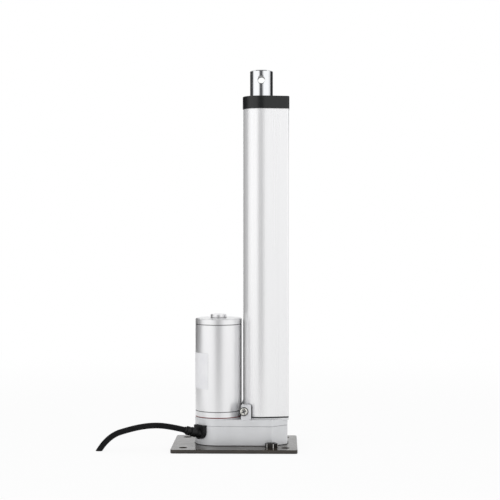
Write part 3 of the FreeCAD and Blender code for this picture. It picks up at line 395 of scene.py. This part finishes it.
def makeFinish(name, look):
    material = bpy.data.materials.new(name)
    material.use_nodes = True
    tree = material.node_tree
    shader = tree.nodes["Principled BSDF"]
    grain = addNode(tree, "Mapping", {"Scale": look.get("stretch", (1, 1, 1))},
                    {"Vector": addNode(tree, "TexCoord").outputs["Object"]})
    place = grain.outputs["Vector"]
    patch = addNode(tree, "TexNoise", {"Scale": perMm(look["patch"]), "Detail": sharedLook["patchDetail"]},
                    {"Vector": place})
    tint = addNode(tree, "MapRange", sharedLook["noiseSpan"], {"Value": patch.outputs["Fac"]})
    first, second = look["colours"]
    colour = addNode(tree, "MixRGB", {"Color1": linear(first), "Color2": linear(second)},
                     {"Fac": tint.outputs["Result"]})
    hue = colour.outputs["Color"]
    smear = addNode(tree, "TexNoise", {"Scale": perMm(look["smear"]), "Detail": sharedLook["smearDetail"]},
                    {"Vector": place})
    rough = addNode(tree, "MapRange", {**sharedLook["noiseSpan"], "To Min": look["rough"][0],
                                       "To Max": look["rough"][1]}, {"Value": smear.outputs["Fac"]})
    gloss = rough.outputs["Result"]
    if "paintedShade" in look:                       # painted shade: seams and corners are darkened in colour, and the same mask dulls them
        shadeColour, reach = look["paintedShade"]
        nook = addNode(tree, "AmbientOcclusion",
                       {"samples": sharedLook["nookSamples"], "Distance": reach * mm})
        depth = addNode(tree, "MapRange", sharedLook["nookSpan"], {"Value": nook.outputs["AO"]})
        paintedShadeMix = addNode(tree, "MixRGB", {"Color2": linear(shadeColour)},
                         {"Fac": depth.outputs["Result"], "Color1": hue})
        hue = paintedShadeMix.outputs["Color"]
        dulled = addNode(tree, "Math", {"operation": "MAXIMUM"}, {0: gloss, 1: depth.outputs["Result"]})
        gloss = dulled.outputs["Value"]
    tree.links.new(hue, shader.inputs["Base Color"])
    tree.links.new(gloss, shader.inputs["Roughness"])
    kind, settings = look["relief"]
    relief = addNode(tree, kind, settings, {"Vector": place})
    height = relief.outputs["Distance" if kind == "TexVoronoi" else "Fac"]
    strength, rise = look["bump"]
    bump = addNode(tree, "Bump", {"Strength": strength, "Distance": rise * mm}, {"Height": height})
    tree.links.new(bump.outputs["Normal"], shader.inputs["Normal"])
    shader.inputs["Metallic"].default_value = look.get("metal", 0.0)
    for socket, value in look.get("extra", {}).items():
        shader.inputs[socket].default_value = value
    return material


# Sizes of patterns and the reach of painted shade and bumps are in mm
finishSet = {
    # dip-coated steel plate: near-black brown paint, grey where it mirrors the room at a low angle, with
    # painted shade in its nooks
    "dipCoatedPlate": {"colours": ("#2a251f", "#362f27"), "patch": 22.0, "smear": 9.0, "rough": (0.17, 0.25),
                       "relief": ("TexNoise", {"Scale": perMm(0.9), "Detail": 4.0}), "bump": (0.25, 0.02),
                       "paintedShade": ("#0c0b0a", 4.0)},
    # zinc-plated screws: bright, faintly warm metal, a little dulled
    "brightZinc": {"colours": ("#c6c6c2", "#d8d7d0"), "patch": 3.0, "smear": 1.2, "rough": (0.12, 0.22),
                   "relief": ("TexNoise", {"Scale": perMm(0.4), "Detail": 2.0}), "bump": (0.15, 0.01),
                   "metal": 1.0},
    # black oxide nut and stud: dark steel under a thin oily oxide
    "blackOxide": {"colours": ("#1d1b1a", "#292624"), "patch": 3.0, "smear": 1.5, "rough": (0.22, 0.34),
                   "relief": ("TexNoise", {"Scale": perMm(0.5), "Detail": 3.0}), "bump": (0.2, 0.015),
                   "metal": 0.7},
    # silver-painted die casting: soft grey with the fine orange peel of sprayed paint, with painted shade in
    # its seams
    "silverPaintedCasting": {"colours": ("#d6d7d9", "#dedfe1"), "patch": 14.0, "smear": 5.0,
                             "rough": (0.28, 0.36), "metal": 0.25, "paintedShade": ("#4a4a4b", 0.6),
                             "relief": ("TexNoise", {"Scale": perMm(1.1), "Detail": 4.0}),
                             "bump": (0.18, 0.015)},
    # nickel-plated drawn shell: smooth satin metal with faint draw lines along the can, with painted shade in
    # its seams and nooks
    "satinPlatedShell": {"colours": ("#e8e8e9", "#ededee"), "patch": 12.0, "smear": 5.0,
                         "rough": (0.31, 0.37), "metal": 0.75, "stretch": (1.0, 1.0, 0.03),
                         "paintedShade": ("#161617", 3.5),
                         "relief": ("TexNoise", {"Scale": perMm(0.7), "Detail": 3.0}), "bump": (0.06, 0.008)},
    # pressed fibre gasket: dull brick red with short fibres
    "redFibre": {"colours": ("#680f0c", "#801510"), "patch": 1.5, "smear": 2.0, "rough": (0.7, 0.85),
                 "relief": ("TexNoise", {"Scale": perMm(0.3), "Detail": 4.0}), "bump": (0.4, 0.03)},
    # blank polyester label: smooth off-white film, barely mottled
    "polyesterLabel": {"colours": ("#e9e9ec", "#efeff1"), "patch": 9.0, "smear": 4.0, "rough": (0.4, 0.5),
                       "relief": ("TexNoise", {"Scale": perMm(1.6), "Detail": 2.0}), "bump": (0.08, 0.008)},
    # clear-anodised extrusion: pale silver with fine die lines along its length, with painted shade in its
    # nooks
    "anodisedExtrusion": {"colours": ("#eaeaeb", "#eeeeef"), "patch": 6.0, "smear": 4.0,
                          "rough": (0.25, 0.28), "metal": 0.4, "stretch": (1.0, 1.0, 0.004),
                          "paintedShade": ("#404042", 2.5),
                          "relief": ("TexNoise", {"Scale": perMm(1.2), "Detail": 2.0}),
                          "bump": (0.03, 0.006)},
    # moulded glass-filled nylon: charcoal black, fine matt spark-eroded skin
    "mouldedNylon": {"colours": ("#121314", "#18191a"), "patch": 8.0, "smear": 4.0, "rough": (0.28, 0.36),
                     "relief": ("TexNoise", {"Scale": perMm(0.5), "Detail": 4.0}), "bump": (0.25, 0.015),
                     "extra": {"Specular IOR Level": 0.42}},
    # moulded rubber: soft black, slightly bloomed
    "mouldedRubber": {"colours": ("#0a0a0b", "#101011"), "patch": 4.0, "smear": 2.5, "rough": (0.45, 0.6),
                      "relief": ("TexNoise", {"Scale": perMm(0.6), "Detail": 3.0}), "bump": (0.25, 0.02),
                      "extra": {"Specular IOR Level": 0.3}},
    # extruded PVC jacket: smooth black, satin, faintly uneven
    "pvcJacket": {"colours": ("#141415", "#1c1c1d"), "patch": 6.0, "smear": 4.0, "rough": (0.55, 0.65),
                  "relief": ("TexNoise", {"Scale": perMm(1.4), "Detail": 2.0}), "bump": (0.2, 0.03),
                  "extra": {"Specular IOR Level": 0.06}},
    # insulated leads: glossy red PVC
    "redLead": {"colours": ("#8f1a17", "#a3221d"), "patch": 3.0, "smear": 2.0, "rough": (0.3, 0.42),
                "relief": ("TexNoise", {"Scale": perMm(0.8), "Detail": 2.0}), "bump": (0.15, 0.02)},
    # polished stainless rod: near-mirror with the faintest grinding rings
    "polishedStainless": {"colours": ("#d6d7da", "#dedfe1"), "patch": 20.0, "smear": 6.0,
                          "rough": (0.07, 0.11), "metal": 1.0, "stretch": (0.05, 0.05, 1.0),
                          "relief": ("TexNoise", {"Scale": perMm(0.5), "Detail": 2.0}),
                          "bump": (0.04, 0.004)},
    # drilled steel of the rod's end plug: dull grey and freshly cut; on the screw recesses it is painted
    # shade
    "drilledSteel": {"colours": ("#57585b", "#6a6b6e"), "patch": 3.0, "smear": 1.5, "rough": (0.4, 0.55),
                     "relief": ("TexNoise", {"Scale": perMm(0.4), "Detail": 3.0}), "bump": (0.3, 0.02),
                     "metal": 1.0},
    # nut edges where the oxide is rubbed through: bare steel, painted bright as a highlight
    "rubbedSteel": {"colours": ("#dedcd8", "#efeeea"), "patch": 0.8, "smear": 0.6, "rough": (0.35, 0.5),
                    "relief": ("TexNoise", {"Scale": perMm(0.2), "Detail": 3.0}), "bump": (0.2, 0.01),
                    "metal": 0.6},
    # turned steel: grey metal with fine tool rings
    "turnedSteel": {"colours": ("#9a9b9d", "#aeafb1"), "patch": 4.0, "smear": 2.0, "rough": (0.24, 0.38),
                    "relief": ("TexWave", {"Scale": bandsPerMm(0.9), "bands_direction": "Z",
                                           "Distortion": 0.4}),
                    "bump": (0.3, 0.02), "metal": 1.0},
    # phosphated spring steel: dark grey and dull
    "phosphatedSpring": {"colours": ("#35363a", "#424347"), "patch": 2.0, "smear": 1.0, "rough": (0.5, 0.65),
                         "relief": ("TexNoise", {"Scale": perMm(0.2), "Detail": 3.0}), "bump": (0.25, 0.01),
                         "metal": 0.8},
    # ground bearing rings: bright and smooth with a fine grinding grain
    "groundBearing": {"colours": ("#aeb0b3", "#bfc1c3"), "patch": 4.0, "smear": 1.6, "rough": (0.14, 0.24),
                      "relief": ("TexNoise", {"Scale": perMm(0.3), "Detail": 2.0}), "bump": (0.12, 0.008),
                      "metal": 1.0, "stretch": (0.2, 0.2, 1.0)},
    # sintered bronze: brown-gold with open pores
    "sinteredBronze": {"colours": ("#8a6233", "#ab8047"), "patch": 0.9, "smear": 0.6, "rough": (0.42, 0.6),
                       "relief": ("TexVoronoi", {"Scale": perMm(0.45)}), "bump": (0.4, 0.03), "metal": 1.0},
    # machined brass: warm yellow with tool rings
    "machinedBrass": {"colours": ("#b08d45", "#c9a65a"), "patch": 3.0, "smear": 1.5, "rough": (0.2, 0.32),
                      "relief": ("TexWave", {"Scale": bandsPerMm(1.0), "bands_direction": "Z",
                                             "Distortion": 0.5}),
                      "bump": (0.3, 0.02), "metal": 1.0},
    # natural acetal: milky white, waxy
    "naturalAcetal": {"colours": ("#e3e0d6", "#eeebe2"), "patch": 6.0, "smear": 3.0, "rough": (0.32, 0.44),
                      "relief": ("TexNoise", {"Scale": perMm(0.5), "Detail": 3.0}), "bump": (0.12, 0.01),
                      "extra": {"Subsurface Weight": 0.1, "Subsurface Radius": (0.002, 0.0018, 0.0015)}},
    # enamelled copper: orange-red wire lying in rows
    "enamelledCopper": {"colours": ("#9c4a22", "#c26b35"), "patch": 1.5, "smear": 1.0, "rough": (0.22, 0.36),
                        "relief": ("TexWave", {"Scale": bandsPerMm(0.6), "bands_direction": "Z",
                                               "Distortion": 1.5}),
                        "bump": (0.6, 0.12), "metal": 1.0},
    # stacked electrical sheet: dark grey, one line per lamination
    "stackedSheet": {"colours": ("#4c4d50", "#5d5e61"), "patch": 2.5, "smear": 1.5, "rough": (0.4, 0.55),
                     "relief": ("TexWave", {"Scale": bandsPerMm(0.5), "bands_direction": "Z",
                                            "Distortion": 0.1}),
                     "bump": (0.6, 0.06), "metal": 0.9},
    # sintered ferrite: charcoal ceramic, gritty
    "sinteredFerrite": {"colours": ("#2a2b2e", "#36373a"), "patch": 2.0, "smear": 1.2, "rough": (0.6, 0.75),
                        "relief": ("TexNoise", {"Scale": perMm(0.25), "Detail": 4.0}), "bump": (0.4, 0.03)},
    # pressed carbon: soft black with a graphite gleam
    "pressedCarbon": {"colours": ("#141416", "#242528"), "patch": 0.8, "smear": 0.5, "rough": (0.38, 0.6),
                      "relief": ("TexNoise", {"Scale": perMm(0.2), "Detail": 4.0}), "bump": (0.3, 0.02),
                      "metal": 0.25},
    # paper-based phenolic board: brown with a fine paper grain
    "phenolicCard": {"colours": ("#5a3218", "#6f4322"), "patch": 2.0, "smear": 1.5, "rough": (0.45, 0.6),
                     "relief": ("TexNoise", {"Scale": perMm(0.3), "Detail": 4.0}), "bump": (0.25, 0.02)},
    # solder mask over glass cloth: green lacquer, a little uneven over the cloth
    "solderMask": {"colours": ("#0e4a26", "#14602f"), "patch": 1.2, "smear": 1.5, "rough": (0.2, 0.32),
                   "relief": ("TexNoise", {"Scale": perMm(0.4), "Detail": 3.0}), "bump": (0.25, 0.02)},
}
finishes = {name: makeFinish(name, look) for name, look in finishSet.items()}

finishOfSlot = {
    "plate_steel": "dipCoatedPlate", "zinc_steel": "brightZinc", "black_steel": "blackOxide",
    "cast_alloy": "silverPaintedCasting", "motor_shell": "satinPlatedShell", "red_gasket": "redFibre",
    "blank_label": "polyesterLabel", "tube_aluminium": "anodisedExtrusion", "black_plastic": "mouldedNylon",
    "black_rubber": "mouldedRubber", "cable_jacket": "pvcJacket", "lead_jacket": "redLead",
    "rod_steel": "polishedStainless", "machined_steel": "turnedSteel", "spring_steel": "phosphatedSpring",
    "bearing_steel": "groundBearing", "bronze": "sinteredBronze", "brass_nut": "machinedBrass",
    "white_acetal": "naturalAcetal", "copper": "enamelledCopper", "lamination_steel": "stackedSheet",
    "ferrite": "sinteredFerrite", "carbon": "pressedCarbon", "phenolic_card": "phenolicCard",
    "board_green": "solderMask",
}
for part in frame["record"]["subparts"]:
    for holder in nodes[part["node"]].material_slots:
        holder.material = finishes[finishOfSlot[part["material_slot"]]]
for holder in nodes["rod_end_plug"].material_slots:
    holder.material = finishes["drilledSteel"]
for piece, names in ((powerCable, ["pvcJacket"]), (leadScrew, ["turnedSteel"]),
                     (plateNut, ["blackOxide", "rubbedSteel"]),
                     (lugScrews, ["brightZinc", "drilledSteel", "blackOxide"]),
                     (capScrews, ["brightZinc", "drilledSteel"]),
                     (baseScrews, ["brightZinc", "drilledSteel"])):
    for name in names:
        piece.data.materials.append(finishes[name])
print("finishes set:", len(finishes))

# Studio: pale floor, white room, soft lamps and dark flags that only show in gloss, all in metres
studioSet = {
    "floorSize": 12.0, "floorDrop": 0.0002, "floorColour": "#f4f4f4",
    "floorGlow": (0.88, 1.0), "fade": (0.25, 0.9),             # glow near and far from the object
    "underPlate": 0.012, "underSpan": {"From Min": 0.1, "From Max": 0.45}, "underSamples": 16,
    "ambient": 0.74, "white": "#ffffff",
    "lamps": [("leftBox", (-1.25, -0.95, 0.75), 1.7, 3.4, True),       # place, size, watts, seen in gloss
              ("rightBox", (1.25, -0.95, 0.75), 1.7, 3.2, True),
              ("topBox", (0.0, -0.1, 1.7), 1.7, 2.0, True),
              ("frontBox", (0.1, -1.5, 0.4), 1.2, 3.4, False)],
    "aim": (0.0, 0.0, 0.15),
    "flags": [("frontFlag", (-15.0, 15.0), (0.0, 0.66), "#6e6e70"),    # degrees from the front, foot and top
              ("leftFlag", (-124.0, -92.0), (0.0, 0.66), "#58585a"),
              ("farLeftFlag", (-158.0, -124.0), (0.0, 0.42), "#0e0e0f"),
              ("rightFlag", (100.0, 147.0), (0.3, 0.66), "#323234"),
              ("farRightFlag", (147.0, 163.0), (0.3, 0.42), "#323234")],
    "flagReach": 0.5, "flagSteps": 16,
    "ceiling": (0.35, 0.9, "#8c8c8e"), "ceilingSteps": 32,             # radius, height, shade
}
white = linear(studioSet["white"])


def paintStage(name):
    material = bpy.data.materials.new(name)
    material.use_nodes = True
    material.node_tree.nodes.clear()
    return material, material.node_tree


def seenBy(tree):
    path = addNode(tree, "LightPath").outputs
    plain = addNode(tree, "Math", {"operation": "ADD", "use_clamp": True},
                    {0: path["Is Camera Ray"], 1: path["Is Glossy Ray"]})
    through = addNode(tree, "Math", {"operation": "ADD", "use_clamp": True},
                      {0: plain.outputs["Value"], 1: path["Is Transmission Ray"]})
    return through.outputs["Value"]


floorPaint, tree = paintStage("paleFloor")
away = addNode(tree, "VectorMath", {"operation": "LENGTH"}, {0: addNode(tree, "TexCoord").outputs["Object"]})
fade = addNode(tree, "MapRange", {"interpolation_type": "SMOOTHSTEP", "From Min": studioSet["fade"][0],
                                  "From Max": studioSet["fade"][1], "To Min": studioSet["floorGlow"][0],
                                  "To Max": studioSet["floorGlow"][1]}, {"Value": away.outputs["Value"]})
nook = addNode(tree, "AmbientOcclusion",
               {"samples": studioSet["underSamples"], "Distance": studioSet["underPlate"]})
bare = addNode(tree, "MapRange", studioSet["underSpan"], {"Value": nook.outputs["AO"]})
lit = addNode(tree, "Math", {"operation": "MULTIPLY"}, {0: fade.outputs["Result"], 1: bare.outputs["Result"]})
share = addNode(tree, "Math", {"operation": "MULTIPLY"}, {0: seenBy(tree), 1: lit.outputs["Value"]})
matt = addNode(tree, "BsdfDiffuse", {"Color": linear(studioSet["floorColour"])})
glow = addNode(tree, "Emission", {"Color": white, "Strength": 1.0})
blend = addNode(tree, "MixShader", None, {0: share.outputs["Value"], 1: matt.outputs["BSDF"],
                                          2: glow.outputs["Emission"]})
addNode(tree, "OutputMaterial", None, {"Surface": blend.outputs["Shader"]})
floorForm = bmesh.new()
bmesh.ops.create_grid(floorForm, x_segments=2, y_segments=2, size=studioSet["floorSize"] / 2,
                      matrix=Matrix.Translation((0.0, 0.0, -studioSet["floorDrop"])))
paleFloor = closeMesh(floorForm, "paleFloor")
paleFloor.data.materials.append(floorPaint)

world = bpy.data.worlds.new("whiteRoom")
scene.world = world
world.use_nodes = True
tree = world.node_tree
tree.nodes.clear()
room = addNode(tree, "Background", {"Color": white, "Strength": studioSet["ambient"]})
seen = addNode(tree, "Background", {"Color": white, "Strength": 1.0})
blend = addNode(tree, "MixShader", None, {0: seenBy(tree), 1: room.outputs["Background"],
                                          2: seen.outputs["Background"]})
addNode(tree, "OutputWorld", None, {"Surface": blend.outputs["Shader"]})

for name, place, size, power, mirrored in studioSet["lamps"]:
    softBox = addPiece(name, bpy.data.lights.new(name, "AREA"))
    softBox.data.shape = "SQUARE"
    softBox.data.size = size
    softBox.data.energy = power
    softBox.location = place
    softBox.rotation_euler = (Vector(studioSet["aim"]) - Vector(place)).to_track_quat("-Z", "Y").to_euler()
    softBox.visible_camera = False
    softBox.visible_glossy = mirrored

flags = []
for name, (start, end), (foot, top), shade in studioSet["flags"]:
    form = bmesh.new()
    turn = math.radians(start)
    side = Vector((math.sin(turn), -math.cos(turn))) * studioSet["flagReach"]
    first = form.verts.new((side.x, side.y, foot))
    bmesh.ops.spin(form, geom=[first], axis=up, cent=middle, angle=math.radians(end - start),
                   steps=studioSet["flagSteps"], use_merge=False)
    raised = bmesh.ops.extrude_edge_only(form, edges=form.edges)["geom"]
    bmesh.ops.translate(form, verts=only(bmesh.types.BMVert, raised), vec=(0.0, 0.0, top - foot))
    flags.append((closeMesh(form, name), shade))
ceilingRadius, ceilingHeight, ceilingShade = studioSet["ceiling"]
form = bmesh.new()
bmesh.ops.create_circle(form, cap_ends=True, radius=ceilingRadius, segments=studioSet["ceilingSteps"],
                        matrix=Matrix.Translation((0.0, 0.0, ceilingHeight)))
flags.append((closeMesh(form, "ceilingFlag"), ceilingShade))
for flag, shade in flags:
    paint, tree = paintStage(flag.name)
    glow = addNode(tree, "Emission", {"Color": linear(shade), "Strength": 1.0})
    addNode(tree, "OutputMaterial", None, {"Surface": glow.outputs["Emission"]})
    flag.data.materials.append(paint)
    flag.visible_camera = False
    flag.visible_diffuse = False
    flag.visible_shadow = False
    flag.visible_transmission = False
print("studio ready")
